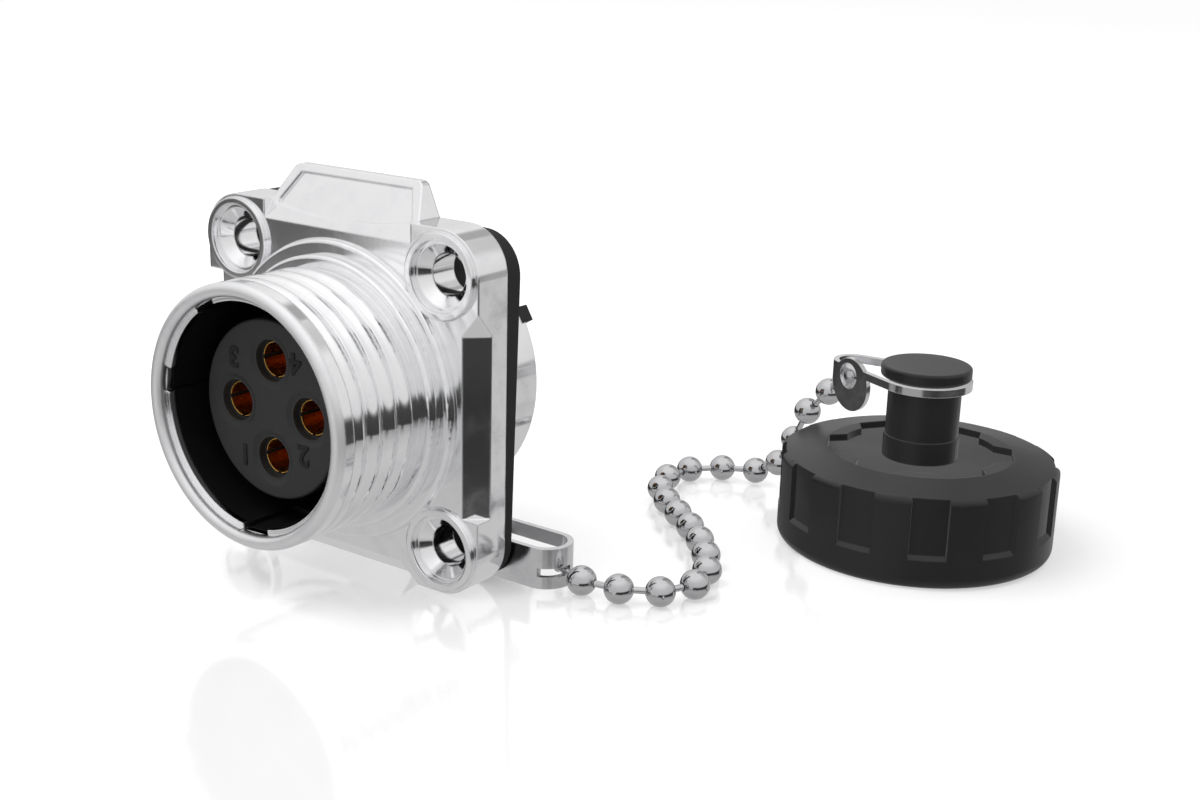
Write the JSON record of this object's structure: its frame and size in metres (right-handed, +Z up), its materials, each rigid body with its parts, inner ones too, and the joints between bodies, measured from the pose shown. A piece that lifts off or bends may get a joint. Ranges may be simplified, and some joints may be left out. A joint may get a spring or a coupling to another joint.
{
  "type": "circular power connector panel socket with dust cap",
  "caption": "Square-flange circular power connector socket with slotted contacts, gasket, ball chain and threaded dust cap.",
  "frame": {"origin": "centre of the square flange's rear face, the face that goes against the panel", "axes": "+Z up, the socket's mating end points along -Y, the chain and the cap lie on the +X side at the level of the flange's lower edge"},
  "size_m": [0.0632, 0.059, 0.0328],
  "materials": {
    "plated_shell": "bright nickel plating on die-cast zinc",
    "plated_strap": "bright nickel plating on steel strip",
    "plated_chain": "bright nickel plating",
    "contact_metal": "gold plated",
    "grey_insert": "matt moulded",
    "black_liner": "matt moulded",
    "black_nylon": "satin moulded",
    "black_rubber": "matt"
  },
  "bodies": {
    "receptacle": {"shell": "plated_shell", "flange_gasket": "black_rubber", "barrel_liner": "black_liner", "front_insert": "grey_insert", "insert_seal": "black_rubber", "contact_1": "contact_metal", "contact_2": "contact_metal", "contact_3": "contact_metal", "contact_4": "contact_metal", "rear_retainer": "black_liner", "flange_loop": "plated_strap", "cap_loop": "plated_strap", "ball_01": "plated_chain", "ball_02": "plated_chain", "ball_03": "plated_chain", "ball_04": "plated_chain", "ball_05": "plated_chain", "ball_06": "plated_chain", "ball_07": "plated_chain", "ball_08": "plated_chain", "ball_09": "plated_chain", "ball_10": "plated_chain", "ball_11": "plated_chain", "ball_12": "plated_chain", "ball_13": "plated_chain", "ball_14": "plated_chain", "ball_15": "plated_chain", "ball_16": "plated_chain", "ball_17": "plated_chain", "ball_18": "plated_chain", "ball_19": "plated_chain", "ball_20": "plated_chain", "pin_01": "plated_chain", "pin_02": "plated_chain", "pin_03": "plated_chain", "pin_04": "plated_chain", "pin_05": "plated_chain", "pin_06": "plated_chain", "pin_07": "plated_chain", "pin_08": "plated_chain", "pin_09": "plated_chain", "pin_10": "plated_chain", "pin_11": "plated_chain", "pin_12": "plated_chain", "pin_13": "plated_chain", "pin_14": "plated_chain", "pin_15": "plated_chain", "pin_16": "plated_chain", "pin_17": "plated_chain", "pin_18": "plated_chain", "pin_19": "plated_chain", "pin_20": "plated_chain"},
    "cap": {"dust_cap": "black_nylon", "cap_washer": "black_rubber"}
  },
  "joints": [
    {"name": "cap_turn", "type": "hinge", "parent": "receptacle", "child": "cap", "pos_m": [0.036, 0.0325, -0.015], "axis": [0, 0, 1], "continuous": true}
  ]
}
